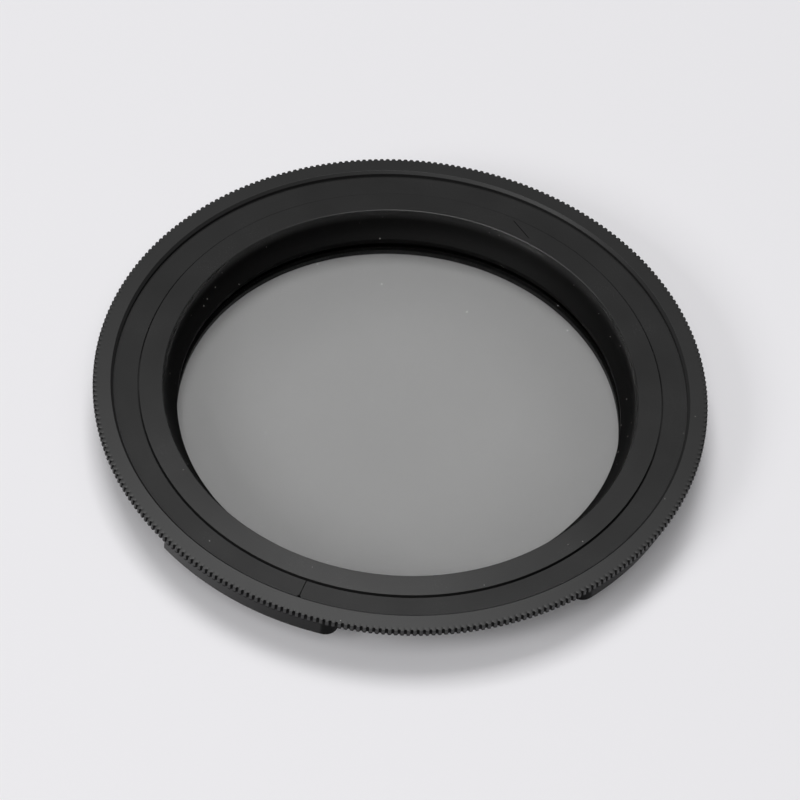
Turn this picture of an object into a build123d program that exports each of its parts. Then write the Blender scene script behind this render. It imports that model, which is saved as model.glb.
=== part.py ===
"""Rotating lens filter on a four-claw bayonet mount, lying face up on the rear of its barrel.

Millimetres, +Z up along the optical axis, origin at the middle of the barrel's rear face.
Radii run from the rim inwards, heights from the barrel's rear face upwards.
"""

import os
from math import cos, pi, radians, sin

from build123d import *

# Rim and outer band
rim_diameter = 80.0
rim_height = 1.0
rim_land = 0.15
knurl_pitch = 0.8
knurl_depth = 0.32
band_width = 2.3
band_rise = 0.2
lip_chamfer = 0.34

# Split retaining ring
split_ring_width = 3.4
split_ring_thickness = 0.6
split_ring_catch = 0.24
split_ring_drop = 0.6
split_gap = 0.14
split_angle = -78.0
notch_diameter = 0.44

# Filter cell
cell_gap = 0.2
face_width = 3.06
face_rise = 0.38
face_fall = 0.11
mouth_break = 0.14
flare_inset = 1.42
flare_sag = 0.28
ledge_width = 0.57
ledge_drop = 0.55
seat_depth = 0.67
seat_width = 0.55
barrel_wall = 1.25
flange_overlap = 2.3
flange_thickness = 0.8
flange_height = 5.75

# Glass pair and its retaining ring
glass_thickness = 1.1
film_thickness = 0.2
retainer_thickness = 0.8
retainer_recess = 0.1
spanner_slot_width = 1.4
spanner_slot_depth = 0.4
spanner_slot_count = 2

# Mount ring's hub and claws
hub_wall = 0.25
shoulder_thickness = 0.6
claw_pair_count = 2
claw_pair_angle = -45.4
claw_gap = 48.4
claw_span = 38.7
claw_setback = 1.2
claw_thickness = 3.4
claw_wall = 1.8
claw_lip = 0.8
claw_slot = 0.9

# Clearances
running_clearance = 0.05
axial_play = 0.05
barrel_clearance = 0.3
seat_clearance = 0.05

# Radii, worked out from the rim inwards
rim_radius = rim_diameter / 2
knurl_root_radius = rim_radius - knurl_depth
band_edge_radius = knurl_root_radius - rim_land
lip_radius = rim_radius - band_width
wall_radius = lip_radius - lip_chamfer
split_ring_radius = wall_radius + split_ring_catch
groove_radius = split_ring_radius + seat_clearance
hub_radius = groove_radius + hub_wall
split_ring_bore = split_ring_radius - split_ring_width
boss_radius = split_ring_bore - cell_gap
mouth_radius = boss_radius - face_width
flare_radius = mouth_radius - flare_inset
clear_radius = flare_radius - ledge_width
glass_radius = clear_radius + seat_width
pocket_radius = glass_radius + seat_clearance
barrel_radius = pocket_radius + barrel_wall
shoulder_radius = barrel_radius + barrel_clearance
flange_radius = split_ring_bore + flange_overlap
recess_radius = flange_radius + running_clearance
claw_radius = rim_radius - claw_setback
claw_mid_radius = claw_radius - claw_thickness / 2

# Heights, worked out from the barrel's rear face upwards
retainer_top = retainer_recess + retainer_thickness
rear_glass_top = retainer_top + glass_thickness
film_top = rear_glass_top + film_thickness
glass_top = film_top + glass_thickness
ledge_height = glass_top + seat_depth
flare_height = ledge_height + ledge_drop
flange_top = flange_height + flange_thickness
recess_floor = flange_height - axial_play
hub_bottom = recess_floor - shoulder_thickness
split_ring_floor = flange_top + axial_play
split_ring_top = split_ring_floor + split_ring_thickness
face_height = split_ring_top + face_rise
rim_top = split_ring_top + split_ring_drop
rim_bottom = rim_top - rim_height
lip_height = rim_top + band_rise
claw_lip_top = hub_bottom - claw_slot
claw_bottom = claw_lip_top - claw_lip

# Knurl: a whole number of sharp teeth at about the given pitch
knurl_count = round(pi * rim_diameter / knurl_pitch)


def knurl_outline() -> list[tuple[float, float]]:
    """Crest and root points of the knurl in turn, once round the rim."""
    points = []
    for tooth in range(knurl_count):
        for radius, turn in ((rim_radius, tooth), (knurl_root_radius, tooth + 0.5)):
            angle = 2 * pi * turn / knurl_count
            points.append((radius * cos(angle), radius * sin(angle)))
    return points


# Where a claw's round end is centred and where its square end is cut, from the middle of its pair
claw_round_angle = claw_gap / 2 + (claw_thickness / 2) / claw_mid_radius * 180 / pi
claw_square_angle = claw_gap / 2 + claw_span

# Flare: hollow, so its middle lies outside the straight line from mouth to foot
flare_top = Vector(mouth_radius, face_height - mouth_break)
flare_foot = Vector(flare_radius, flare_height)
flare_run = (flare_foot - flare_top).normalized()
flare_middle = (flare_top + flare_foot) / 2 + Vector(-flare_run.Y, flare_run.X) * flare_sag

os.makedirs("parts", exist_ok=True)

# Plan of two claws whose round ends face each other and whose outer ends are square
with BuildSketch() as claw_pair:
    claw_arc = claw_square_angle - claw_round_angle
    SlotArc(
        CenterArc((0, 0), claw_mid_radius, claw_round_angle, claw_arc, mode=Mode.PRIVATE),
        claw_thickness,
    )
    with PolarLocations(claw_mid_radius, 1, claw_square_angle):
        Rectangle(2 * claw_thickness, claw_thickness, align=(Align.CENTER, Align.MIN), mode=Mode.SUBTRACT)
    mirror(about=Plane.XZ)

# Outer ring: four claws with an inward lip, the turned ring that carries them, and its knurled rim
with BuildPart() as mount_ring:
    with BuildSketch(Plane.XY.offset(claw_bottom)):
        with PolarLocations(0, claw_pair_count, claw_pair_angle):
            add(claw_pair.sketch)
    extrude(amount=rim_bottom - claw_bottom)
    with BuildSketch(Plane.XY.offset(claw_lip_top)):
        Circle(claw_radius - claw_wall)
    extrude(amount=claw_slot, mode=Mode.SUBTRACT)
    with BuildSketch(Plane.XY.offset(hub_bottom)):
        Circle(hub_radius)
    extrude(amount=rim_bottom - hub_bottom, mode=Mode.SUBTRACT)

    with BuildSketch(Plane.XZ):
        with BuildLine():
            Polyline(
                (shoulder_radius, hub_bottom),
                (hub_radius, hub_bottom),
                (hub_radius, rim_bottom),
                (band_edge_radius, rim_bottom),
                (band_edge_radius, rim_top),
                (lip_radius, lip_height),
                (wall_radius, lip_height - lip_chamfer),
                (wall_radius, split_ring_top),
                (groove_radius, split_ring_top),
                (groove_radius, split_ring_floor),
                (recess_radius, split_ring_floor),
                (recess_radius, recess_floor),
                (shoulder_radius, recess_floor),
                close=True,
            )
        make_face()
    revolve(axis=Axis.Z)

    with BuildSketch(Plane.XY.offset(rim_bottom)):
        with BuildLine():
            Polyline(*knurl_outline(), close=True)
        make_face()
        Circle(band_edge_radius, mode=Mode.SUBTRACT)
    extrude(amount=rim_height)

# Flat retaining ring, split once, with a removal notch at the outer end of the split
with BuildPart() as split_ring:
    with BuildSketch(Plane.XY.offset(split_ring_floor)):
        Circle(split_ring_radius)
        Circle(split_ring_bore, mode=Mode.SUBTRACT)
        split_direction = Vector(cos(radians(split_angle)), sin(radians(split_angle)))
        with Locations(Location(split_direction * (split_ring_radius + split_ring_bore) / 2, split_angle)):
            Rectangle(2 * split_ring_width, split_gap, mode=Mode.SUBTRACT)
        with Locations(split_direction * (wall_radius - notch_diameter / 2)):
            Circle(notch_diameter / 2, mode=Mode.SUBTRACT)
    extrude(amount=split_ring_thickness)

# Cell: raised face, flared bore, glass seat, flange under the split ring and rear barrel
with BuildPart() as filter_cell:
    with BuildSketch(Plane.XZ):
        with BuildLine():
            Polyline(
                (clear_radius, glass_top),
                (pocket_radius, glass_top),
                (pocket_radius, 0),
                (barrel_radius, 0),
                (barrel_radius, flange_height),
                (flange_radius, flange_height),
                (flange_radius, flange_top),
                (boss_radius, flange_top),
                (boss_radius, face_height - face_fall),
                (mouth_radius + mouth_break, face_height),
                flare_top,
                flare_middle,
                flare_foot,
                (clear_radius, ledge_height),
                close=True,
            )
        make_face()
    revolve(axis=Axis.Z)

# Ring that holds the glass pair from behind, with spanner slots in its rear face
with BuildPart() as glass_retaining_ring:
    with BuildSketch(Plane.XY.offset(retainer_recess)):
        Circle(glass_radius)
        Circle(clear_radius, mode=Mode.SUBTRACT)
    extrude(amount=retainer_thickness)
    with BuildSketch(Plane.XY.offset(retainer_recess)):
        with PolarLocations(clear_radius, spanner_slot_count):
            Rectangle(2 * seat_width + spanner_slot_width, spanner_slot_width)
    extrude(amount=spanner_slot_depth, mode=Mode.SUBTRACT)

# Glass pair with the polarising film between the two discs
with BuildPart() as rear_glass:
    with BuildSketch(Plane.XY.offset(retainer_top)):
        Circle(glass_radius)
    extrude(amount=glass_thickness)

with BuildPart() as polarising_film:
    with BuildSketch(Plane.XY.offset(rear_glass_top)):
        Circle(glass_radius)
    extrude(amount=film_thickness)

with BuildPart() as front_glass:
    with BuildSketch(Plane.XY.offset(film_top)):
        Circle(glass_radius)
    extrude(amount=glass_thickness)

nodes = {
    "mount_ring": mount_ring,
    "split_ring": split_ring,
    "filter_cell": filter_cell,
    "front_glass": front_glass,
    "polarising_film": polarising_film,
    "rear_glass": rear_glass,
    "glass_retaining_ring": glass_retaining_ring,
}

for name, piece in nodes.items():
    piece.part.label = name
    export_step(piece.part, f"parts/{name}.step")
    print(name, round(piece.part.volume, 2), "mm3")
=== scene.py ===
"""Looks of a rotating lens filter on a four-claw bayonet mount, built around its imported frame.

Everything is in metres in the frame's own axes: the optical axis is +Z, and the barrel's rear face
lies on z = 0. Sizes of pieces are written in millimetres times MM, those of finishes in millimetres.
Outer sizes come from the frame's boxes.
"""

import logging
import math
from dataclasses import dataclass, replace
from enum import Enum
from typing import Any

import bmesh
import bpy
from mathutils import Matrix, Vector


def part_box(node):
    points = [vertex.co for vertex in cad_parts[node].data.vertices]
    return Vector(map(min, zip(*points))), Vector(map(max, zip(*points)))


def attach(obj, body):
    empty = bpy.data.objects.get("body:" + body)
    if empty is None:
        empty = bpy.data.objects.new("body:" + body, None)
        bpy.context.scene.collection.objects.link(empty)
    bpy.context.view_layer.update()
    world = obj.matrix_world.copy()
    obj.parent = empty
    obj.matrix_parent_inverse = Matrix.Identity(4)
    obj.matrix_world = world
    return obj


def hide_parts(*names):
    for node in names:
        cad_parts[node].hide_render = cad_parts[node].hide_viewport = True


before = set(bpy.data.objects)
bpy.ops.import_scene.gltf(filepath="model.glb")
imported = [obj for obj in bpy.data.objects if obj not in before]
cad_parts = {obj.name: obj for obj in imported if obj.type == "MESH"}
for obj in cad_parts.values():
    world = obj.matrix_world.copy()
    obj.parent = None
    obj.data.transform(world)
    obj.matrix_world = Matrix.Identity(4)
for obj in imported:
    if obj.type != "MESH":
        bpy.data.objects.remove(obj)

MM = 0.001
MICRON = MM / 1000
Colour = tuple[float, float, float, float]
LOG = logging.getLogger("lens_filter")
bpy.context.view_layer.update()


class Body(Enum):
    """The frame's two moving bodies."""

    MOUNT = "mount"
    CELL = "cell"


class Slot(Enum):
    """The record's material slots."""

    MOUNT_BLACK = "mount_black"
    RING_BLACK = "ring_black"
    CELL_BLACK = "cell_black"
    CLEAR_GLASS = "clear_glass"
    GREY_FILM = "grey_film"


class Grain(Enum):
    """How a black part was finished before it was anodised."""

    BLASTED = "even fine grain"
    TURNED = "fine rings left by the lathe"


class Value:
    """A socket of a material's node tree that takes part in Python expressions."""

    def __init__(self, sheet: "NodeSheet", socket: bpy.types.NodeSocket) -> None:
        """Keeps the tree and one of its output sockets.

        Args:
            sheet: The tree that new maths goes into.
            socket: The output socket that this value stands for.
        """
        self.sheet = sheet
        self.socket = socket

    def __add__(self, other: Any) -> "Value":
        """self + other."""
        return self.sheet.maths("ADD", self, other)

    __radd__ = __add__

    def __sub__(self, other: Any) -> "Value":
        """self - other."""
        return self.sheet.maths("SUBTRACT", self, other)

    def __rsub__(self, other: Any) -> "Value":
        """other - self."""
        return self.sheet.maths("SUBTRACT", other, self)

    def __mul__(self, other: Any) -> "Value":
        """self * other."""
        return self.sheet.maths("MULTIPLY", self, other)

    __rmul__ = __mul__

    def __truediv__(self, other: Any) -> "Value":
        """self / other."""
        return self.sheet.maths("DIVIDE", self, other)

    def __lt__(self, other: Any) -> "Value":
        """1 where self is below other, else 0."""
        return self.sheet.maths("LESS_THAN", self, other)

    def __gt__(self, other: Any) -> "Value":
        """1 where self is above other, else 0."""
        return self.sheet.maths("GREATER_THAN", self, other)

    def above(self, other: Any) -> "Value":
        """The larger of self and other."""
        return self.sheet.maths("MAXIMUM", self, other)

    def below(self, other: Any) -> "Value":
        """The smaller of self and other."""
        return self.sheet.maths("MINIMUM", self, other)


class NodeSheet:
    """A node tree that is written as Python expressions."""

    def __init__(self, tree: bpy.types.NodeTree) -> None:
        """Empties a tree and keeps it.

        Args:
            tree: The tree of a material, a world or a geometry group.
        """
        self.tree = tree
        self.tree.nodes.clear()

    def node(self, kind: str, settings: dict[str, Any] | None = None, **sockets: Any) -> bpy.types.Node:
        """Adds a node, sets it up and fills its sockets.

        Args:
            kind: The node's type name.
            settings: The node's own properties, set before its sockets.
            **sockets: Socket values or links by socket name, with _ for a space, or by number as s0, s1.

        Returns:
            The new node.
        """
        made = self.tree.nodes.new(kind)
        for name, value in (settings or {}).items():
            setattr(made, name, value)
        for name, value in sockets.items():
            number = name[1:]
            target = made.inputs[int(number) if number.isdigit() else name.replace("_", " ")]
            self.feed(target, value)
        return made

    def feed(self, target: bpy.types.NodeSocket, value: Any) -> None:
        """Links or sets one input socket.

        Args:
            target: The input socket.
            value: A Value or socket to link, or a plain value to set.
        """
        if isinstance(value, Value):
            value = value.socket
        if isinstance(value, bpy.types.NodeSocket):
            self.tree.links.new(value, target)
        else:
            target.default_value = value

    def value(self, node: bpy.types.Node, output: str | int = 0) -> Value:
        """One output of a node as a Value."""
        return Value(self, node.outputs[output])

    def maths(self, operation: str, *terms: Any) -> Value:
        """A Math node on up to three numbers or Values."""
        fed = {f"s{i}": term for i, term in enumerate(terms)}
        return self.value(self.node("ShaderNodeMath", {"operation": operation}, **fed))

    def ramp(self, value: Value, low: float, high: float) -> Value:
        """A smooth step from 0 at low to 1 at high."""
        settings = {"interpolation_type": "SMOOTHSTEP"}
        return self.value(self.node("ShaderNodeMapRange", settings, s0=value, s1=low, s2=high))

    def mix(self, share: Value, first: Any, second: Any) -> Value:
        """A colour between two others.

        Args:
            share: 0 for the first colour, 1 for the second.
            first: A colour or its socket.
            second: A colour or its socket.

        Returns:
            The mixed colour.
        """
        fed = {"s0": share, "s6": first, "s7": second}
        return self.value(self.node("ShaderNodeMix", {"data_type": "RGBA"}, **fed), 2)

    def shader(self, **sockets: Any) -> bpy.types.NodeSocket:
        """The output of a Principled shader with those sockets filled."""
        return self.node("ShaderNodeBsdfPrincipled", **sockets).outputs[0]

    def blend(
        self, share: Value, first: bpy.types.NodeSocket, second: bpy.types.NodeSocket
    ) -> bpy.types.NodeSocket:
        """A shader between two others.

        Args:
            share: 0 for the first shader, 1 for the second.
            first: A shader's output.
            second: Another shader's output.

        Returns:
            The mixed shader's output.
        """
        return self.node("ShaderNodeMixShader", s0=share, s1=first, s2=second).outputs[0]

    def ray(self, *kinds: str) -> Value:
        """1 for a ray of any of those kinds, by their names in Light Path, else 0."""
        path = self.node("ShaderNodeLightPath")
        found = self.value(path, kinds[0])
        for kind in kinds[1:]:
            found = found.above(self.value(path, kind))
        return found


def grey(level: float) -> Colour:
    """A neutral colour with that linear level."""
    return (level, level, level, 1.0)


BLACK = grey(0.0)


class Place:
    """Where a point of a surface is, in millimetres of the piece's own coordinates."""

    def __init__(self, sheet: NodeSheet) -> None:
        """Adds the coordinates to a material.

        Args:
            sheet: The material's tree.
        """
        self.sheet = sheet
        own = sheet.node("ShaderNodeTexCoord").outputs["Object"]
        scaled = sheet.node("ShaderNodeVectorMath", {"operation": "SCALE"}, s0=own, Scale=1 / MM)
        self.point = scaled.outputs["Vector"]
        parts = sheet.node("ShaderNodeSeparateXYZ", s0=self.point)
        self.x, self.y, self.z = (sheet.value(parts, axis) for axis in range(3))
        self.radius = sheet.maths("SQRT", self.x * self.x + self.y * self.y)

    def noise(self, per_mm: float, detail: float = 2.0) -> Value:
        """Soft noise from 0 to 1 with about that many spots in a millimetre."""
        made = self.sheet.node("ShaderNodeTexNoise", Vector=self.point, Scale=per_mm, Detail=detail)
        return self.sheet.value(made)

    def lathe_rings(self, per_mm: float, detail: float = 3.0) -> Value:
        """Uneven rings round the axis, from 0 to 1, with about that many in a millimetre."""
        settings, along = {"noise_dimensions": "1D"}, self.radius + self.z
        made = self.sheet.node("ShaderNodeTexNoise", settings, W=along, Scale=per_mm, Detail=detail)
        return self.sheet.value(made)

    def specks(self, spacing: float, size: float, share: float) -> Value:
        """Small round dust specks.

        Args:
            spacing: The distance between places where a speck may lie, in millimetres.
            size: The largest speck's radius, in millimetres.
            share: The share of those places that hold a speck.

        Returns:
            1 on a speck and 0 off it.
        """
        made = self.sheet.node("ShaderNodeTexVoronoi", Vector=self.point, Scale=1 / spacing)
        pick = self.sheet.node("ShaderNodeSeparateColor", s0=made.outputs["Color"])
        chosen = self.sheet.value(pick, 0) < share
        reach = self.sheet.value(pick, 1) * (size / spacing)
        return chosen * (self.sheet.value(made, "Distance") < reach)

    def scratch(self, start: tuple[float, float], end: tuple[float, float], width: float) -> Value:
        """A fine straight mark seen along the axis, between two points in millimetres.

        Args:
            start: One end, as x and y.
            end: The other end.
            width: How wide the mark is.

        Returns:
            1 on the mark, fading to 0 at its sides and ends.
        """
        run = Vector(end) - Vector(start)
        along = ((self.x - start[0]) * run.x + (self.y - start[1]) * run.y) / run.length_squared
        across = ((self.x - start[0]) * run.y - (self.y - start[1]) * run.x) / run.length
        beside = self.sheet.maths("ABSOLUTE", across)
        inside = (along > 0.0) * (along < 1.0)
        core, side = 0.2 * width, 0.5 * width
        return inside * (1.0 - self.sheet.ramp(beside, core, side))


@dataclass(frozen=True, kw_only=True)
class MattOrShadeSkin:
    """Dull black laid on some places of a satin black part: a real matt finish in the cell's bore, and
    painted shade in the knurl's gullets, along the rim's foot and on the claws' ends.
    """

    level: float = 0.0015
    roughness: float = 0.55
    gloss: float = 0.09
    dust_share: float = 0.0

    def cover(self, sheet: NodeSheet, place: Place) -> Value:
        """1 where the skin lies and 0 elsewhere."""
        raise NotImplementedError


@dataclass(frozen=True, kw_only=True)
class MattOrShadeZone(MattOrShadeSkin):
    """Dull black below a height and inside a radius, or below a foot, all in millimetres: a real matt
    finish in the cell's bore, and painted shade in the knurl's gullets and along the rim's foot.
    """

    radius: float
    height: float
    foot: float = 0.0
    fade: float = 0.1
    height_fade: float = 0.05
    foot_fade: float = 0.25

    def cover(self, sheet: NodeSheet, place: Place) -> Value:
        """1 inside the zone and 0 outside it."""
        inside = 1.0 - sheet.ramp(place.radius, self.radius - self.fade, self.radius)
        low = 1.0 - sheet.ramp(place.z, self.foot - self.foot_fade, self.foot)
        under = 1.0 - sheet.ramp(place.z, self.height - self.height_fade, self.height)
        return inside.above(low) * under


@dataclass(frozen=True, kw_only=True)
class PaintedEndShade(MattOrShadeSkin):
    """Painted shade: dull black on the facing ends of paired claws, where they face the dark floor under
    the rim, thinning out along the claws.

    Turns are counted from the middle of the pair.
    """

    pairs: int
    pair_turn: float
    end_turn: float
    plain_turn: float
    end_fade: float = math.radians(1.5)
    thin_share: float = 0.65

    def cover(self, sheet: NodeSheet, place: Place) -> Value:
        """1 on the facing ends, falling to 0 along each claw."""
        turn = sheet.maths("ARCTAN2", place.y, place.x) - self.pair_turn
        phase = sheet.maths("FRACT", turn * (self.pairs / math.tau) + 0.5)
        off = sheet.maths("ABSOLUTE", phase - 0.5) * (math.tau / self.pairs)
        ends = 1.0 - sheet.ramp(off, self.end_turn - self.end_fade, self.end_turn)
        along = 1.0 - sheet.ramp(off, self.end_turn, self.plain_turn)
        return ends.above(along * self.thin_share)


@dataclass(frozen=True)
class Dust:
    """A kind of dust: its spacing and largest speck in millimetres, and how well a speck covers."""

    spacing: float
    size: float
    cover: float

    def lie(self, place: Place, share: float) -> Value:
        """How well each point is covered where that share of the places holds a speck."""
        return place.specks(self.spacing, self.size, share) * self.cover


@dataclass(frozen=True)
class Finish:
    """A named surface that is written as a material."""

    name: str

    def material(self) -> bpy.types.Material:
        """Writes the finish as a material.

        Returns:
            The new material.
        """
        made = bpy.data.materials.new(self.name)
        made.use_nodes = True
        sheet = NodeSheet(made.node_tree)
        sheet.node("ShaderNodeOutputMaterial", Surface=self.surface(sheet, Place(sheet)))
        return made

    def surface(self, sheet: NodeSheet, place: Place) -> bpy.types.NodeSocket:
        """Draws the surface.

        Args:
            sheet: The material's tree.
            place: Where a point of the surface is.

        Returns:
            The output of the last shader.
        """
        raise NotImplementedError


@dataclass(frozen=True)
class BlackAnodised(Finish):
    """Satin black anodised aluminium with a fine grain and a little dust."""

    level: float
    roughness: float
    grain: Grain
    gloss: float = 0.44
    relief: float = 0.0015
    relief_strength: float = 0.35
    grains_per_mm: float = 9.0
    clouds_per_mm: float = 0.12
    rings_per_mm: float = 5.0
    ring_share: float = 0.5
    tone_spread: float = 0.15
    cloud_roughness: float = 0.06
    grain_roughness: float = 0.1
    dust: Dust = Dust(spacing=1.3, size=0.08, cover=0.6)
    dust_share: float = 0.12
    dust_roughness: float = 0.3
    dust_colour: Colour = (0.5, 0.49, 0.47, 1.0)
    scratch_ends: tuple[tuple[float, float], tuple[float, float]] | None = None
    scratch_width: float = 0.16
    scratch_cover: float = 0.75
    scratch_polish: float = 0.2
    # Dull black laid on some places: a real matt finish, or painted shade where the part sits in shade.
    matt_or_shade: MattOrShadeSkin | None = None
    matt_dust: Dust = Dust(spacing=1.1, size=0.12, cover=0.35)

    def tone(self, sheet: NodeSheet, cloudy: Value, level: float) -> Value:
        """A black of about that level, a little uneven."""
        low, high = level * (1.0 - self.tone_spread), level * (1.0 + self.tone_spread)
        return sheet.mix(cloudy, grey(low), grey(high))

    def surface(self, sheet: NodeSheet, place: Place) -> bpy.types.NodeSocket:
        """Draws the satin black with its grain, dust and scratch, and the dull black laid on it, which is a
        real matt finish or painted shade.

        Args:
            sheet: The material's tree.
            place: Where a point of the surface is.

        Returns:
            The output of the last shader.
        """
        fine = place.noise(self.grains_per_mm, detail=3.0)
        cloudy = place.noise(self.clouds_per_mm)
        texture = fine
        if self.grain is Grain.TURNED:
            rings = place.lathe_rings(self.rings_per_mm)
            texture = fine * (1.0 - self.ring_share) + rings * self.ring_share
        dust = self.dust.lie(place, self.dust_share)
        colour = sheet.mix(dust, self.tone(sheet, cloudy, self.level), self.dust_colour)
        uneven = (cloudy - 0.5) * self.cloud_roughness + (fine - 0.5) * self.grain_roughness
        rough = uneven + self.roughness + dust * self.dust_roughness
        if self.scratch_ends:
            mark = place.scratch(*self.scratch_ends, self.scratch_width) * self.scratch_cover
            colour = sheet.mix(mark, colour, BLACK)
            rough = rough - mark * self.scratch_polish
        depth = self.relief * MM
        bump = sheet.node("ShaderNodeBump", Strength=self.relief_strength, Distance=depth, Height=texture)
        satin = sheet.shader(
            Base_Color=colour,
            Roughness=rough,
            Specular_IOR_Level=self.gloss,
            Normal=bump.outputs["Normal"],
        )
        if not self.matt_or_shade:
            return satin
        matt_dust = self.matt_dust.lie(place, self.matt_or_shade.dust_share)
        matt_or_shade = sheet.shader(
            Base_Color=sheet.mix(matt_dust, self.tone(sheet, cloudy, self.matt_or_shade.level), self.dust_colour),
            Roughness=uneven + self.matt_or_shade.roughness,
            Specular_IOR_Level=self.matt_or_shade.gloss,
        )
        return sheet.blend(self.matt_or_shade.cover(sheet, place), satin, matt_or_shade)


@dataclass(frozen=True)
class ClearGlass(Finish):
    """Clear coated glass with a blackened rim and some dust, which lets lamp light straight through."""

    rim_radius: float
    bend: float = 1.52
    glare: float = 0.15
    tint: Colour = (0.98, 0.984, 0.97, 1.0)
    smears_per_mm: float = 0.08
    smear_roughness: float = 0.03
    dust: Dust = Dust(spacing=2.5, size=0.13, cover=0.8)
    dust_share: float = 0.6
    dust_colour: Colour = (0.75, 0.75, 0.73, 1.0)
    dust_roughness: float = 0.8
    paint_level: float = 0.001
    paint_roughness: float = 0.9
    paint_inset: float = 0.04
    paint_fade: float = 0.02

    def surface(self, sheet: NodeSheet, place: Place) -> bpy.types.NodeSocket:
        """Draws the glass, its dust and the paint on its rim.

        Args:
            sheet: The material's tree.
            place: Where a point of the surface is.

        Returns:
            The output of the last shader.
        """
        glass = sheet.shader(
            Base_Color=self.tint,
            Roughness=place.noise(self.smears_per_mm, detail=4.0) * self.smear_roughness,
            IOR=self.bend,
            Specular_Tint=grey(self.glare),
            Transmission_Weight=1.0,
        )
        speck = sheet.shader(Base_Color=self.dust_colour, Roughness=self.dust_roughness)
        dusty = sheet.blend(self.dust.lie(place, self.dust_share), glass, speck)
        clear = sheet.node("ShaderNodeBsdfTransparent").outputs[0]
        pane = sheet.blend(sheet.ray("Is Shadow Ray", "Is Diffuse Ray"), dusty, clear)
        paint = sheet.shader(
            Base_Color=grey(self.paint_level),
            Roughness=self.paint_roughness,
            Specular_IOR_Level=0.0,
        )
        paint_edge = self.rim_radius - self.paint_inset
        painted = sheet.ramp(place.radius, paint_edge, paint_edge + self.paint_fade)
        return sheet.blend(painted, pane, paint)


@dataclass(frozen=True)
class GreyFilm(Finish):
    """Neutral grey polarising film that lets a share of the light straight through, with painted shade: it
    lets less through towards its rim, where the bore's walls shade the floor seen through it.
    """

    opacity: float
    rim_shade_opacity: float
    even_radius: float = 12.0
    rim_radius: float = 29.5
    streaks_per_mm: float = 0.05
    streak_opacity: float = 0.02

    def surface(self, sheet: NodeSheet, place: Place) -> bpy.types.NodeSocket:
        """Draws the film as something that only takes light away.

        Args:
            sheet: The material's tree.
            place: Where a point of the surface is.

        Returns:
            The output of the last shader.
        """
        streak = place.noise(self.streaks_per_mm, detail=3.0)
        # Painted shade: the film grows more opaque towards its rim.
        outward = sheet.ramp(place.radius, self.even_radius, self.rim_radius)
        painted_rim_shade = outward * (self.rim_shade_opacity - self.opacity)
        return sheet.shader(
            Base_Color=BLACK,
            Roughness=1.0,
            Specular_IOR_Level=0.0,
            Alpha=(streak - 0.5) * self.streak_opacity + self.opacity + painted_rim_shade,
        )


@dataclass(frozen=True)
class PaleFloor(Finish):
    """Matt pale sheet that the filter lies on, with a faint glow in its picture and its mirror images."""

    colour: Colour
    glow: float = 0.11
    roughness: float = 0.9
    gloss: float = 0.1
    fibres_per_mm: float = 0.02
    fibre_shade: float = 0.994

    def surface(self, sheet: NodeSheet, place: Place) -> bpy.types.NodeSocket:
        """Draws the sheet.

        Args:
            sheet: The material's tree.
            place: Where a point of the surface is.

        Returns:
            The output of the last shader.
        """
        darker = tuple(channel * self.fibre_shade for channel in self.colour)
        seen = sheet.ray("Is Camera Ray", "Is Glossy Ray", "Is Transmission Ray")
        return sheet.shader(
            Base_Color=sheet.mix(place.noise(self.fibres_per_mm), darker, self.colour),
            Roughness=self.roughness,
            Specular_IOR_Level=self.gloss,
            Emission_Color=sheet.mix(seen, BLACK, self.colour),
            Emission_Strength=self.glow / self.colour[0],
        )


@dataclass(frozen=True)
class Corner:
    """A corner of a turned section: its radius, its height and how far it is rounded."""

    radius: float
    height: float
    rounding: float = 0.0


@dataclass(frozen=True)
class Facet:
    """One straight step of a rounded section, with the way its two ends face."""

    start: Vector
    end: Vector
    start_normal: Vector
    end_normal: Vector


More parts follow.
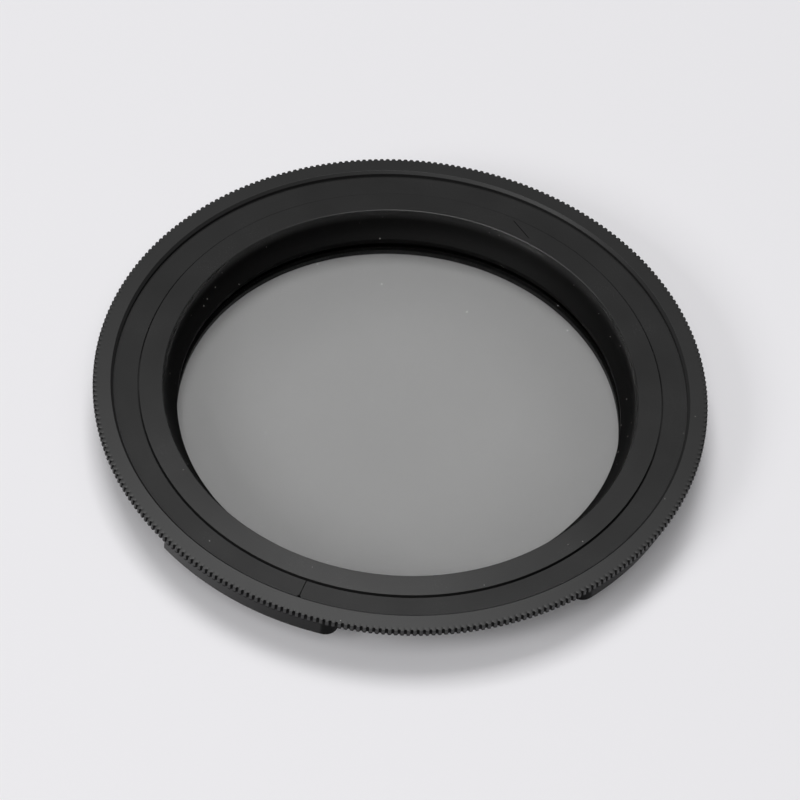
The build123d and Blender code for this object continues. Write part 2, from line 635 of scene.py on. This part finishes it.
@dataclass(frozen=True)
class Section:
    """Outline of a turned piece, with its corners listed anticlockwise and rounded into short arcs."""

    corners: tuple[Corner, ...]
    closed: bool = True
    arc_step: float = math.radians(18)

    def facets(self) -> list[Facet]:
        """Walks the outline.

        Returns:
            The steps of the outline in order, in the plane of radius and height.
        """
        bends = [self.bend(i) for i in range(len(self.corners))]
        made = []
        count = len(bends)
        for i, (points, normals) in enumerate(bends):
            for a, b, na, nb in zip(points, points[1:], normals, normals[1:]):
                made.append(Facet(a, b, na, nb))
            if i + 1 < count or self.closed:
                start, end = points[-1], bends[(i + 1) % count][0][0]
                facing = self.facing(end - start)
                made.append(Facet(start, end, facing, facing))
        return made

    @staticmethod
    def facing(run: Vector) -> Vector:
        """The outward direction of a straight run."""
        return Vector((run.y, -run.x)).normalized()

    def bend(self, i: int) -> tuple[list[Vector], list[Vector]]:
        """Rounds one corner.

        Args:
            i: The corner's place in the list.

        Returns:
            The points of its arc and the outward direction at each, or the bare corner.
        """
        here = self.corners[i]
        at = Vector((here.radius, here.height))
        if here.rounding <= 0.0:
            return [at], [Vector((0.0, 0.0))]
        last, following = self.corners[i - 1], self.corners[(i + 1) % len(self.corners)]
        back = (Vector((last.radius, last.height)) - at).normalized()
        ahead = (Vector((following.radius, following.height)) - at).normalized()
        half = back.angle(ahead) / 2
        reach = here.rounding / math.tan(half)
        centre = at + (back + ahead).normalized() * here.rounding / math.sin(half)
        first, final = self.facing(-back), self.facing(ahead)
        outward = 1.0 if (at + back * reach - centre).dot(first) > 0 else -1.0
        steps = max(2, math.ceil((math.pi - 2 * half) / self.arc_step))
        turn = first.angle_signed(final)
        normals = [Matrix.Rotation(-turn * k / steps, 2) @ first for k in range(steps + 1)]
        return [centre + n * here.rounding * outward for n in normals], normals

    def turned(self, name: str, segments: int) -> bpy.types.Object:
        """Turns the section once round the axis.

        Args:
            name: The new piece's name.
            segments: How many steps the turn has.

        Returns:
            The piece, with the way each corner of each face looks set exactly.
        """
        facets = self.facets()
        ring_points = [f.start for f in facets] + ([] if self.closed else [facets[-1].end])
        turns = [math.tau * k / segments for k in range(segments)]
        vertices, rows = [], []
        for p in ring_points:
            if p.x < MICRON:
                rows.append([len(vertices)] * segments)
                vertices.append((0.0, 0.0, p.y))
            else:
                rows.append(list(range(len(vertices), len(vertices) + segments)))
                vertices.extend((p.x * math.cos(t), p.x * math.sin(t), p.y) for t in turns)
        faces, normals = [], []
        for i, f in enumerate(facets):
            low, high = rows[i], rows[(i + 1) % len(rows)]
            for k in range(segments):
                j = (k + 1) % segments
                corners = [(low[k], k, f.start_normal), (low[j], j, f.start_normal)]
                corners += [(high[j], j, f.end_normal), (high[k], k, f.end_normal)]
                kept = {v: (t, n) for v, t, n in corners}
                faces.append(list(kept))
                normals.extend(
                    (n.x * math.cos(turns[t]), n.x * math.sin(turns[t]), n.y) for t, n in kept.values()
                )
        mesh = bpy.data.meshes.new(name)
        mesh.from_pydata(vertices, [], faces)
        mesh.shade_smooth()
        mesh.normals_split_custom_set(normals)
        return linked(name, mesh)


def linked(name: str, mesh: bpy.types.Mesh) -> bpy.types.Object:
    """A new object at the origin that shows a mesh."""
    made = bpy.data.objects.new(name, mesh)
    bpy.context.scene.collection.objects.link(made)
    return made


def settled(name: str, draft: bmesh.types.BMesh) -> bpy.types.Object:
    """A new object at the origin that shows a draft mesh, which is freed."""
    mesh = bpy.data.meshes.new(name)
    draft.to_mesh(mesh)
    draft.free()
    return linked(name, mesh)


class GeometryRecipe:
    """A Geometry Nodes tree with named inputs that is run once and leaves a plain mesh."""

    def __init__(self, name: str) -> None:
        """Starts an empty tree that takes a mesh in and gives one out.

        Args:
            name: The tree's name.
        """
        self.group = bpy.data.node_groups.new(name, "GeometryNodeTree")
        self.sheet = NodeSheet(self.group)
        for direction in ("INPUT", "OUTPUT"):
            self.group.interface.new_socket("Geometry", in_out=direction, socket_type="NodeSocketGeometry")
        self.identifiers: dict[str, str] = {}

    def ask(self, name: str, kind: str) -> None:
        """Adds a named input of a socket type."""
        made = self.group.interface.new_socket(name, in_out="INPUT", socket_type=kind)
        self.identifiers[name] = made.identifier

    def end(self, geometry: bpy.types.NodeSocket, material: bpy.types.NodeSocket) -> None:
        """Ends the tree in real, dressed geometry.

        Args:
            geometry: What the tree has made.
            material: The material that it gets.
        """
        real = self.sheet.node("GeometryNodeRealizeInstances", s0=geometry)
        dressed = self.sheet.node("GeometryNodeSetMaterial", Geometry=real.outputs[0], Material=material)
        self.sheet.node("NodeGroupOutput", s0=dressed.outputs[0])

    def run(self, piece: bpy.types.Object, **values: Any) -> None:
        """Runs the tree on a piece and keeps the result as its mesh.

        Args:
            piece: The piece whose mesh goes in.
            **values: The named inputs, with _ for a space.
        """
        modifier = piece.modifiers.new(self.group.name, "NODES")
        modifier.node_group = self.group
        for name, value in values.items():
            modifier[self.identifiers[name.replace("_", " ")]] = value
        evaluated = piece.evaluated_get(bpy.context.evaluated_depsgraph_get())
        mesh = bpy.data.meshes.new_from_object(evaluated)
        piece.modifiers.remove(modifier)
        old, piece.data = piece.data, mesh
        mesh.name = piece.name
        bpy.data.meshes.remove(old)


def knurl_recipe() -> GeometryRecipe:
    """Cuts round-bottomed gullets into the outside of a plain ring and rounds the crests between them.

    Returns:
        The tree, with inputs for the teeth, the gullets and the radii between which they are cut.
    """
    recipe = GeometryRecipe("knurl_cutter")
    recipe.ask("Teeth", "NodeSocketInt")
    for name in ("Gullet Depth", "Gullet Share", "Crest Drop", "Land Radius", "Crest Radius"):
        recipe.ask(name, "NodeSocketFloat")
    recipe.ask("Finish", "NodeSocketMaterial")
    sheet = recipe.sheet
    given = sheet.node("NodeGroupInput")
    position = sheet.node("GeometryNodeInputPosition").outputs[0]
    parts = sheet.node("ShaderNodeSeparateXYZ", s0=position)
    x, y, z = (sheet.value(parts, axis) for axis in range(3))
    radius = sheet.maths("SQRT", x * x + y * y)
    phase = sheet.maths("ARCTAN2", y, x) * sheet.value(given, "Teeth") / math.tau
    off = sheet.maths("ABSOLUTE", sheet.maths("FRACT", phase) - 0.5)
    half_gullet = sheet.value(given, "Gullet Share") / 2
    across = (off / half_gullet).below(1.0)
    fall = ((0.5 - off) / (0.5 - half_gullet)).below(1.0)
    drop = sheet.value(given, "Crest Drop")
    gullet = (sheet.value(given, "Gullet Depth") - drop) * sheet.maths("SQRT", 1.0 - across * across)
    cut = gullet + drop * fall * fall
    land, crest = sheet.value(given, "Land Radius"), sheet.value(given, "Crest Radius")
    share = ((radius - land) / (crest - land)).above(0.0).below(1.0)
    shrink = 1.0 - cut * share / radius
    moved = sheet.node("ShaderNodeCombineXYZ", s0=x * shrink, s1=y * shrink, s2=z)
    cut_ring = sheet.node("GeometryNodeSetPosition", Geometry=given.outputs[0], Position=moved.outputs[0])
    recipe.end(cut_ring.outputs[0], given.outputs["Finish"])
    return recipe


def copies_recipe() -> GeometryRecipe:
    """Sets copies of a piece evenly round the axis.

    Returns:
        The tree, with inputs for how many there are and the turn of the first.
    """
    recipe = GeometryRecipe("copies_round_axis")
    recipe.ask("Count", "NodeSocketInt")
    recipe.ask("First Turn", "NodeSocketFloat")
    recipe.ask("Finish", "NodeSocketMaterial")
    sheet = recipe.sheet
    given = sheet.node("NodeGroupInput")
    count = sheet.value(given, "Count")
    seats = sheet.node("GeometryNodeMeshLine", Count=count, Offset=(0.0, 0.0, 0.0))
    index = sheet.value(sheet.node("GeometryNodeInputIndex"))
    turn = index * math.tau / count + sheet.value(given, "First Turn")
    about_axis = sheet.node("ShaderNodeCombineXYZ", s2=turn)
    set_out = sheet.node(
        "GeometryNodeInstanceOnPoints",
        Points=seats.outputs[0],
        Instance=given.outputs[0],
        Rotation=about_axis.outputs[0],
    )
    recipe.end(set_out.outputs[0], given.outputs["Finish"])
    return recipe


def coat(piece: bpy.types.Object, finish: bpy.types.Material) -> None:
    """Gives a piece one material and no other."""
    piece.data.materials.clear()
    piece.data.materials.append(finish)


def dress(piece: bpy.types.Object, finish: bpy.types.Material, body: Body, slot: Slot, *nodes: str) -> None:
    """Gives a piece its material, its body and the frame nodes that it stands for.

    Args:
        piece: The finished piece.
        finish: Its material.
        body: The body that it moves with.
        slot: The record's slot for this piece; not used.
        *nodes: The frame nodes that it stands for.
    """
    coat(piece, finish)
    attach(piece, body.value)
    if nodes:
        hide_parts(*nodes)
    LOG.info("%s: %d faces on %s", piece.name, len(piece.data.polygons), body.value)


@dataclass
class MountRing:
    """Outer ring: knurled rim, sloped band, chamfered lip, the seat for the cell and four claws."""

    rim_radius: float
    lip_height: float
    claw_bottom: float
    finish: BlackAnodised
    rim_finish: BlackAnodised
    claw_finish: BlackAnodised
    rim_height: float = 1.0 * MM
    rim_land: float = 0.55 * MM
    tooth_pitch: float = 0.8 * MM
    gullet_depth: float = 0.27 * MM
    gullet_share: float = 0.46
    crest_drop: float = 0.04 * MM
    points_per_tooth: int = 16
    band_width: float = 2.3 * MM
    band_edge: float = 0.47 * MM
    band_rise: float = 0.2 * MM
    lip_chamfer: float = 0.34 * MM
    split_ring_drop: float = 0.6 * MM
    split_ring_thickness: float = 0.6 * MM
    groove_depth: float = 0.29 * MM
    recess_inset: float = 1.1 * MM
    recess_depth: float = 0.9 * MM
    hub_wall: float = 0.25 * MM
    shoulder_width: float = 5.45 * MM
    shoulder_thickness: float = 0.6 * MM
    claw_pairs: int = 2
    pair_turn: float = math.radians(-45.4)
    claw_gap: float = math.radians(48.4)
    claw_span: float = math.radians(38.7)
    claw_setback: float = 1.2 * MM
    claw_thickness: float = 3.4 * MM
    claw_wall: float = 1.8 * MM
    claw_lip: float = 0.8 * MM
    claw_level: float = 0.045
    claw_end_steps: int = 10
    claw_arc_steps: int = 24
    # How far past a claw's end the painted shade stays full.
    end_shade_turn: float = math.radians(4.0)
    edge: float = 0.05 * MM
    edge_steps: int = 2
    bevel_angle: float = math.radians(50)
    claw_crease: float = math.radians(25)
    tooth_crease: float = math.radians(40)

    @classmethod
    def from_frame(cls, finish: BlackAnodised) -> "MountRing":
        """Takes the outer sizes from the frame's node and works out the finishes of the rim and the claws,
        each with painted shade.

        Args:
            finish: The turned ring's finish.

        Returns:
            The mount ring, ready to build.
        """
        low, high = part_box("mount_ring")
        # Painted shade: the rim's satin black turns dull black in the gullets and along the rim's lower
        # edge, where shade falls.
        gullet_and_foot_shade = MattOrShadeZone(radius=39.97, height=7.75, foot=7.12, fade=0.06)
        # Painted shade: the claws' round ends, facing the dark floor under the rim, turn dull black, and
        # the shade thins out along each claw.
        ends = PaintedEndShade(
            pairs=cls.claw_pairs,
            pair_turn=cls.pair_turn,
            end_turn=cls.claw_gap / 2 + cls.end_shade_turn,
            plain_turn=cls.claw_gap / 2 + cls.claw_span,
        )
        rim_finish = replace(finish, name="rim_black_satin_painted_shade", matt_or_shade=gullet_and_foot_shade)
        claw_finish = replace(finish, name="claw_black_satin_painted_shade", level=cls.claw_level, matt_or_shade=ends)
        return cls(high.x, high.z, low.z, finish, rim_finish, claw_finish)

    def __post_init__(self) -> None:
        """Works out the heights and radii that several methods share."""
        self.rim_top = self.lip_height - self.band_rise
        self.rim_bottom = self.rim_top - self.rim_height
        self.lip_radius = self.rim_radius - self.band_width
        self.wall_radius = self.lip_radius - self.lip_chamfer
        self.slope = self.band_rise / (self.band_width - self.band_edge)
        self.land_radius = self.rim_radius - self.rim_land
        self.land_height = self.band_height(self.land_radius)
        self.teeth = round(math.tau * self.rim_radius / self.tooth_pitch)

    def band_height(self, radius: float) -> float:
        """Height of the sloped band at a radius."""
        return self.lip_height - self.slope * (radius - self.lip_radius)

    def ring(self) -> bpy.types.Object:
        """Turns the ring inside the knurl.

        Returns:
            The ring with its band, lip, groove, recess, shoulder and hub.
        """
        groove = self.wall_radius + self.groove_depth
        hub = groove + self.hub_wall
        recess = groove - self.recess_inset
        shoulder = recess - self.shoulder_width
        seat = self.rim_top - self.split_ring_drop
        groove_floor = seat - self.split_ring_thickness
        recess_floor = groove_floor - self.recess_depth
        hub_bottom = recess_floor - self.shoulder_thickness
        section = Section((
            Corner(shoulder, hub_bottom, self.edge),
            Corner(hub, hub_bottom, 2 * self.edge),
            Corner(hub, self.rim_bottom, 2 * self.edge),
            Corner(self.land_radius, self.rim_bottom),
            Corner(self.land_radius, self.land_height),
            Corner(self.lip_radius, self.lip_height, self.edge),
            Corner(self.wall_radius, self.lip_height - self.lip_chamfer, self.edge),
            Corner(self.wall_radius, seat),
            Corner(groove, seat),
            Corner(groove, groove_floor),
            Corner(recess, groove_floor),
            Corner(recess, recess_floor),
            Corner(shoulder, recess_floor, self.edge),
        ))
        return section.turned("mount_ring_body", 2 * self.teeth)

    def knurl(self, material: bpy.types.Material) -> bpy.types.Object:
        """Turns the rim and cuts its teeth.

        Args:
            material: The rim's material.

        Returns:
            The knurled rim.
        """
        crest_height = self.band_height(self.rim_radius)
        section = Section((
            Corner(self.land_radius, self.rim_bottom),
            Corner(self.rim_radius, self.rim_bottom, self.edge),
            Corner(self.rim_radius, crest_height, self.edge),
            Corner(self.land_radius, self.land_height),
        ))
        rim = section.turned("rim_knurl", self.points_per_tooth * self.teeth)
        knurl_recipe().run(
            rim,
            Teeth=self.teeth,
            Gullet_Depth=self.gullet_depth,
            Gullet_Share=self.gullet_share,
            Crest_Drop=self.crest_drop,
            Land_Radius=self.land_radius,
            Crest_Radius=self.rim_radius - self.edge,
            Finish=material,
        )
        rim.data.shade_smooth()
        rim.data.set_sharp_from_angle(angle=self.tooth_crease)
        return rim

    def claws(self, material: bpy.types.Material) -> bpy.types.Object:
        """Builds two claws with an inward lip and facing round ends, and sets the pair out round the axis.

        Args:
            material: The claws' material.

        Returns:
            The four claws.
        """
        outer = self.rim_radius - self.claw_setback
        end_radius = self.claw_thickness / 2
        middle = outer - end_radius
        wall = outer - self.claw_wall
        lip_top = self.claw_bottom + self.claw_lip
        top = self.rim_bottom + 2 * self.edge
        made = bmesh.new()
        for side in (1, -1):
            rows = []
            for turn, past in self.claw_stations(end_radius, middle):
                half = math.sqrt(max(0.0, end_radius**2 - (middle * math.sin(past)) ** 2))
                inner, far = middle * math.cos(past) - half, middle * math.cos(past) + half
                back = max(wall, inner)
                outline = [(inner, self.claw_bottom), (far, self.claw_bottom), (far, top)]
                outline += [(back, top), (back, lip_top), (inner, lip_top)]
                c, s = math.cos(turn), side * math.sin(turn)
                rows.append([made.verts.new((r * c, r * s, h)) for r, h in outline])
            for low, high in zip(rows, rows[1:]):
                for i in range(len(low)):
                    j = (i + 1) % len(low)
                    made.faces.new((low[i], high[i], high[j], low[j]))
            made.faces.new(rows[-1])
        bmesh.ops.remove_doubles(made, verts=made.verts, dist=MICRON)
        bmesh.ops.dissolve_degenerate(made, edges=made.edges, dist=MICRON)
        bmesh.ops.recalc_face_normals(made, faces=made.faces)
        sharp = [e for e in made.edges if e.is_manifold and e.calc_face_angle() > self.bevel_angle]
        bmesh.ops.bevel(
            made,
            geom=sharp,
            offset=2 * self.edge,
            segments=self.edge_steps,
            affect="EDGES",
            clamp_overlap=True,
        )
        claws = settled("bayonet_claws", made)
        copies_recipe().run(claws, Count=self.claw_pairs, First_Turn=self.pair_turn, Finish=material)
        claws.data.shade_smooth()
        claws.data.set_sharp_from_angle(angle=self.claw_crease)
        return claws

    def claw_stations(self, end_radius: float, middle: float) -> list[tuple[float, float]]:
        """Turns at which a claw is cut across, from the middle of its pair.

        Args:
            end_radius: The radius of the round end.
            middle: The radius of the claw's middle line.

        Returns:
            Each cut's turn, and how far it is past the centre of the round end.
        """
        first = self.claw_gap / 2 + math.asin(end_radius / middle)
        last = self.claw_gap / 2 + self.claw_span
        ends, steps = self.claw_end_steps, self.claw_arc_steps
        quarter = [math.pi / 2 * k / ends for k in range(ends, -1, -1)]
        past = [math.asin(end_radius * math.sin(q) / middle) for q in quarter]
        made = [(first - p, p) for p in past]
        return made + [(first + (last - first) * k / steps, 0.0) for k in range(1, steps + 1)]

    def build(self) -> None:
        """Builds and dresses the ring, the knurl and the claws."""
        plain, rim, claw = (f.material() for f in (self.finish, self.rim_finish, self.claw_finish))
        for piece, material in ((self.ring(), plain), (self.knurl(rim), rim), (self.claws(claw), claw)):
            dress(piece, material, Body.MOUNT, Slot.MOUNT_BLACK, "mount_ring")


@dataclass
class SplitRing:
    """Flat retaining ring between the outer ring and the cell, split once, with a removal notch."""

    outer_radius: float
    floor: float
    top: float
    finish: BlackAnodised
    width: float = 3.4 * MM
    gap: float = 0.1 * MM
    gap_turn: float = math.radians(-78.0)
    notch_diameter: float = 0.44 * MM
    notch_inset: float = 0.66 * MM
    notch_steps: int = 8
    edge: float = 0.04 * MM
    edge_steps: int = 2
    segments: int = 360

    @classmethod
    def from_frame(cls, finish: BlackAnodised) -> "SplitRing":
        """Takes the outer sizes from the frame's node."""
        low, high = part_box("split_ring")
        return cls(outer_radius=high.y, floor=low.z, top=high.z, finish=finish)

    def outline(self) -> list[tuple[float, float]]:
        """Plan of the open ring, from one side of the split round to the other and back.

        Returns:
            The plan's points, with the split on the X axis.
        """
        half = self.gap / 2
        notch = self.notch_diameter / 2
        notch_centre = self.outer_radius - self.notch_inset
        inner = self.outer_radius - self.width
        mouth = math.asin(half / notch)
        arc = [mouth + (math.pi - 2 * mouth) * k / self.notch_steps for k in range(self.notch_steps + 1)]
        points = []
        for radius, way in ((self.outer_radius, 1), (inner, -1)):
            start = math.asin(half / radius)
            sweep = [start + (math.tau - 2 * start) * k / self.segments for k in range(self.segments + 1)]
            points += [(radius * math.cos(t), radius * math.sin(t)) for t in sweep[::way]]
            points += [(notch_centre + notch * math.cos(t), -way * notch * math.sin(t)) for t in arc[::way]]
        return points

    def build(self) -> None:
        """Cuts the ring from sheet, breaks its upper edges and dresses it."""
        made = bmesh.new()
        spin = Matrix.Rotation(self.gap_turn, 3, "Z")
        corners = [made.verts.new(spin @ Vector((x, y, self.floor))) for x, y in self.outline()]
        base = made.faces.new(corners)
        grown = bmesh.ops.extrude_face_region(made, geom=[base])["geom"]
        lifted = [v for v in grown if isinstance(v, bmesh.types.BMVert)]
        bmesh.ops.translate(made, verts=lifted, vec=(0.0, 0.0, self.top - self.floor))
        bmesh.ops.recalc_face_normals(made, faces=made.faces)
        rim = [e for e in made.edges if all(v.co.z > (self.floor + self.top) / 2 for v in e.verts)]
        bmesh.ops.bevel(
            made,
            geom=rim,
            offset=self.edge,
            segments=self.edge_steps,
            affect="EDGES",
            clamp_overlap=True,
        )
        piece = settled("split_ring_band", made)
        dress(piece, self.finish.material(), Body.MOUNT, Slot.RING_BLACK, "split_ring")


@dataclass
class FilterCell:
    """Turning cell: raised face, flared bore, glass seat, hidden flange, barrel and the glass pack."""

    face_height: float
    flange_radius: float
    glass_radius: float
    glass_top: float
    finish: BlackAnodised
    ring_finish: BlackAnodised
    glass: ClearGlass
    film: GreyFilm
    boss_inset: float = 2.5 * MM
    face_width: float = 3.06 * MM
    face_fall: float = 0.11 * MM
    mouth_rounding: float = 0.13 * MM
    flare_inset: float = 1.42 * MM
    flare_sag: float = 0.28 * MM
    flare_ease: float = 0.93
    ledge_width: float = 0.57 * MM
    ledge_drop: float = 0.55 * MM
    seat_depth: float = 0.67 * MM
    seat_clearance: float = 0.05 * MM
    barrel_wall: float = 1.25 * MM
    flange_drop: float = 1.03 * MM
    flange_thickness: float = 0.8 * MM
    edge: float = 0.06 * MM
    face_edge: float = 0.02 * MM
    bond_gap: float = 0.004 * MM
    ring_width: float = 0.55 * MM
    lining_thickness: float = 0.04 * MM
    segments: int = 512

    @classmethod
    def from_frame(
        cls, finish: BlackAnodised, ring_finish: BlackAnodised, glass: ClearGlass, film: GreyFilm
    ) -> "FilterCell":
        """Takes the outer sizes from the frame's nodes.

        Args:
            finish: The cell's own finish.
            ring_finish: The finish of the ring behind the glass.
            glass: The glass of both discs.
            film: The film between them.

        Returns:
            The cell, ready to build.
        """
        cell_high, glass_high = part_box("filter_cell")[1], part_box("front_glass")[1]
        return cls(
            face_height=cell_high.z,
            flange_radius=cell_high.x,
            glass_radius=glass_high.x,
            glass_top=glass_high.z,
            finish=finish,
            ring_finish=ring_finish,
            glass=glass,
            film=film,
        )

    def shell(self) -> bpy.types.Object:
        """Turns the cell's metal.

        Returns:
            The face, bore, seat, flange and barrel as one piece.
        """
        boss = self.flange_radius - self.boss_inset
        mouth = boss - self.face_width
        flare = mouth - self.flare_inset
        clear = flare - self.ledge_width
        pocket = self.glass_radius + self.seat_clearance
        barrel = pocket + self.barrel_wall
        ledge = self.glass_top + self.seat_depth
        flange_top = self.face_height - self.flange_drop
        flange_floor = flange_top - self.flange_thickness
        section = Section((
            Corner(clear, self.glass_top, self.edge),
            Corner(pocket, self.glass_top),
            Corner(pocket, 0.0, self.edge),
            Corner(barrel, 0.0, 2 * self.edge),
            Corner(barrel, flange_floor),
            Corner(self.flange_radius, flange_floor, self.edge),
            Corner(self.flange_radius, flange_top, self.edge),
            Corner(boss, flange_top),
            Corner(boss, self.face_height - self.face_fall, self.face_edge),
            Corner(mouth, self.face_height, self.mouth_rounding),
            self.flare(mouth, flare, ledge + self.ledge_drop),
            Corner(flare, ledge + self.ledge_drop),
            Corner(clear, ledge, self.edge),
        ))
        return section.turned("cell_shell", self.segments)

    def flare(self, mouth: float, foot: float, foot_height: float) -> Corner:
        """The corner whose wide rounding is the hollow flare between the mouth and its foot.

        Args:
            mouth: The mouth's radius.
            foot: The radius of the flare's foot.
            foot_height: The height of that foot.

        Returns:
            The corner where the flare's two end tangents meet.
        """
        top, low = Vector((mouth, self.face_height)), Vector((foot, foot_height))
        half = (low - top).length / 2
        bend_radius = (half**2 + self.flare_sag**2) / (2 * self.flare_sag)
        reach = half * math.tan(math.asin(half / bend_radius))
        meet = (top + low) / 2 - Section.facing(low - top) * reach
        return Corner(meet.x, meet.y, bend_radius * self.flare_ease)

    def disc(self, name: str, node: str, edge: float, inset: float) -> bpy.types.Object:
        """Turns a disc of the glass pack from its node's box.

        Args:
            name: The new piece's name.
            node: The frame node that it stands for.
            edge: How far its rim is rounded.
            inset: How far its two faces stay inside the node's.

        Returns:
            The disc.
        """
        low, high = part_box(node)
        section = Section(
            (
                Corner(0.0, low.z + inset),
                Corner(high.x, low.z + inset, edge),
                Corner(high.x, high.z - inset, edge),
                Corner(0.0, high.z - inset),
            ),
            closed=False,
        )
        return section.turned(name, self.segments)

    def lining(self) -> bpy.types.Object:
        """Turns the thin sleeve that closes the inner mouths of the rear ring's spanner slots.

        Returns:
            The sleeve.
        """
        low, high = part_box("glass_retaining_ring")
        outer = self.glass_radius - self.ring_width
        inner = outer - self.lining_thickness
        floor, top = low.z + self.bond_gap, high.z - self.bond_gap
        section = Section((
            Corner(inner, floor),
            Corner(outer, floor),
            Corner(outer, top),
            Corner(inner, top),
        ))
        return section.turned("rear_ring_lining", self.segments)

    def build(self) -> None:
        """Builds and dresses the shell, the glass pack, the ring behind it and that ring's lining."""
        dress(self.shell(), self.finish.material(), Body.CELL, Slot.CELL_BLACK, "filter_cell")
        glass, film, rear = (f.material() for f in (self.glass, self.film, self.ring_finish))
        for node in ("front_glass", "rear_glass"):
            disc = self.disc(f"{node}_disc", node, 2 * self.edge, 0.0)
            dress(disc, glass, Body.CELL, Slot.CLEAR_GLASS, node)
        sheet = self.disc("polarising_film_disc", "polarising_film", self.edge, self.bond_gap)
        dress(sheet, film, Body.CELL, Slot.GREY_FILM, "polarising_film")
        coat(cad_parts["glass_retaining_ring"], rear)
        dress(self.lining(), rear, Body.CELL, Slot.RING_BLACK)


@dataclass(frozen=True)
class SoftLamp:
    """A square soft lamp that looks at the filter."""

    name: str
    azimuth: float
    elevation: float
    distance: float
    size: float
    power: float

    def place(self, turn: float) -> None:
        """Sets the lamp up.

        Args:
            turn: The turn of the view, to which its azimuth is added.
        """
        data = bpy.data.lights.new(self.name, "AREA")
        data.shape = "SQUARE"
        data.size = self.size
        data.energy = self.power
        lamp = bpy.data.objects.new(self.name, data)
        a, e = math.radians(self.azimuth) + turn, math.radians(self.elevation)
        away = Vector((math.cos(a) * math.cos(e), math.sin(a) * math.cos(e), math.sin(e)))
        lamp.location = away * self.distance
        lamp.rotation_mode = "QUATERNION"
        lamp.rotation_quaternion = away.to_track_quat("Z", "Y")
        bpy.context.scene.collection.objects.link(lamp)


@dataclass
class Studio:
    """The pale floor, the soft light and the camera at the photograph's place."""

    rim_radius: float
    rim_top: float
    view_turn: float = math.radians(28.3)
    elevation: float = math.radians(49.93)
    roll: float = math.radians(5.37)
    distance: float = 20.0
    shift_right: float = 0.0006
    shift_up: float = -0.0412
    focal_pixels: float = 6161.3
    image_pixels: float = 800.0
    sensor_width: float = 36.0
    clip: tuple[float, float] = (0.01, 100.0)
    floor_radius: float = 6.0
    floor_drop: float = 0.01 * MM
    floor_segments: int = 96
    floor_colour: Colour = (0.8, 0.793, 0.815, 1.0)
    wall_level: float = 0.03
    ceiling_level: float = 0.46
    ceiling_start: float = 0.7
    lamps: tuple[SoftLamp, ...] = (
        SoftLamp("back_lamp", azimuth=112.0, elevation=74.3, distance=1.66, size=0.76, power=12.9),
        SoftLamp("left_lamp", azimuth=223.0, elevation=36.5, distance=1.3, size=0.45, power=4.6),
        SoftLamp("front_lamp", azimuth=-90.0, elevation=60.0, distance=1.4, size=0.6, power=3.5),
    )

    def camera(self) -> None:
        """Sets the camera where the photograph was taken from."""
        data = bpy.data.cameras.new("camera")
        data.sensor_fit = "HORIZONTAL"
        data.sensor_width = self.sensor_width
        data.lens = self.focal_pixels * self.sensor_width / self.image_pixels
        data.clip_start, data.clip_end = self.clip
        camera = bpy.data.objects.new("camera", data)
        e = self.elevation
        right = Vector((1.0, 0.0, 0.0))
        ahead = Vector((0.0, math.cos(e), -math.sin(e)))
        up = Vector((0.0, math.sin(e), math.cos(e)))
        place = (right * self.shift_right + up * self.shift_up - ahead * self.distance) * self.rim_radius
        c, s = math.cos(self.roll), math.sin(self.roll)
        axes = Matrix((right * c + up * s, up * c - right * s, -ahead)).transposed()
        spin = Matrix.Rotation(self.view_turn, 4, "Z")
        lift = Matrix.Translation((0.0, 0.0, self.rim_top))
        camera.matrix_world = lift @ spin @ Matrix.Translation(place) @ axes.to_4x4()
        bpy.context.scene.collection.objects.link(camera)
        bpy.context.scene.camera = camera

    def floor(self) -> None:
        """Lays a wide round floor just under the barrel."""
        made = bmesh.new()
        bmesh.ops.create_circle(made, cap_ends=True, segments=self.floor_segments, radius=self.floor_radius)
        bmesh.ops.translate(made, verts=made.verts, vec=(0.0, 0.0, -self.floor_drop))
        floor = settled("floor", made)
        coat(floor, PaleFloor("pale_floor", self.floor_colour).material())

    def sky(self) -> None:
        """Fills the room with a little soft light from straight above and leaves its walls dark."""
        world = bpy.data.worlds.new("studio")
        world.use_nodes = True
        bpy.context.scene.world = world
        sheet = NodeSheet(world.node_tree)
        direction = sheet.node("ShaderNodeTexCoord").outputs["Generated"]
        height = sheet.value(sheet.node("ShaderNodeSeparateXYZ", s0=direction), 2)
        overhead = sheet.ramp(height, self.ceiling_start, 1.0)
        light = sheet.mix(overhead, grey(self.wall_level), grey(self.ceiling_level))
        background = sheet.node("ShaderNodeBackground", Color=light, Strength=1.0)
        sheet.node("ShaderNodeOutputWorld", Surface=background.outputs[0])

    def build(self) -> None:
        """Sets up the room."""
        self.camera()
        self.floor()
        self.sky()
        for lamp in self.lamps:
            lamp.place(self.view_turn)
        bpy.context.scene.view_settings.view_transform = "Standard"


def main() -> None:
    """Builds the filter piece by piece, then the room round it."""
    logging.basicConfig(level=logging.INFO, format="%(message)s")
    mount_black = BlackAnodised("mount_black_satin", level=0.0185, roughness=0.475, grain=Grain.BLASTED)
    ring_black = BlackAnodised(
        "split_ring_black",
        level=0.018,
        roughness=0.25,
        grain=Grain.TURNED,
        gloss=0.46,
    )
    cell_black = BlackAnodised(
        "cell_black_satin",
        level=0.0245,
        roughness=0.25,
        grain=Grain.TURNED,
        gloss=0.39,
        scratch_ends=((-3.4, 33.4), (-0.1, 31.9)),
        # The bore's own matt black finish, not shade.
        matt_or_shade=MattOrShadeZone(radius=30.93, height=7.5, fade=0.4, level=0.004, dust_share=0.9),
    )
    rear_black = BlackAnodised(
        "rear_ring_black",
        level=0.006,
        roughness=0.45,
        grain=Grain.TURNED,
        gloss=0.25,
        dust_share=0.0,
    )
    glass = ClearGlass("clear_glass", rim_radius=29.5)
    film = GreyFilm("grey_film", opacity=0.215, rim_shade_opacity=0.25)
    mount = MountRing.from_frame(mount_black)
    cell = FilterCell.from_frame(cell_black, rear_black, glass, film)
    mount.build()
    SplitRing.from_frame(ring_black).build()
    cell.build()
    Studio(mount.rim_radius, mount.rim_top).build()


if __name__ == "__main__":
    main()
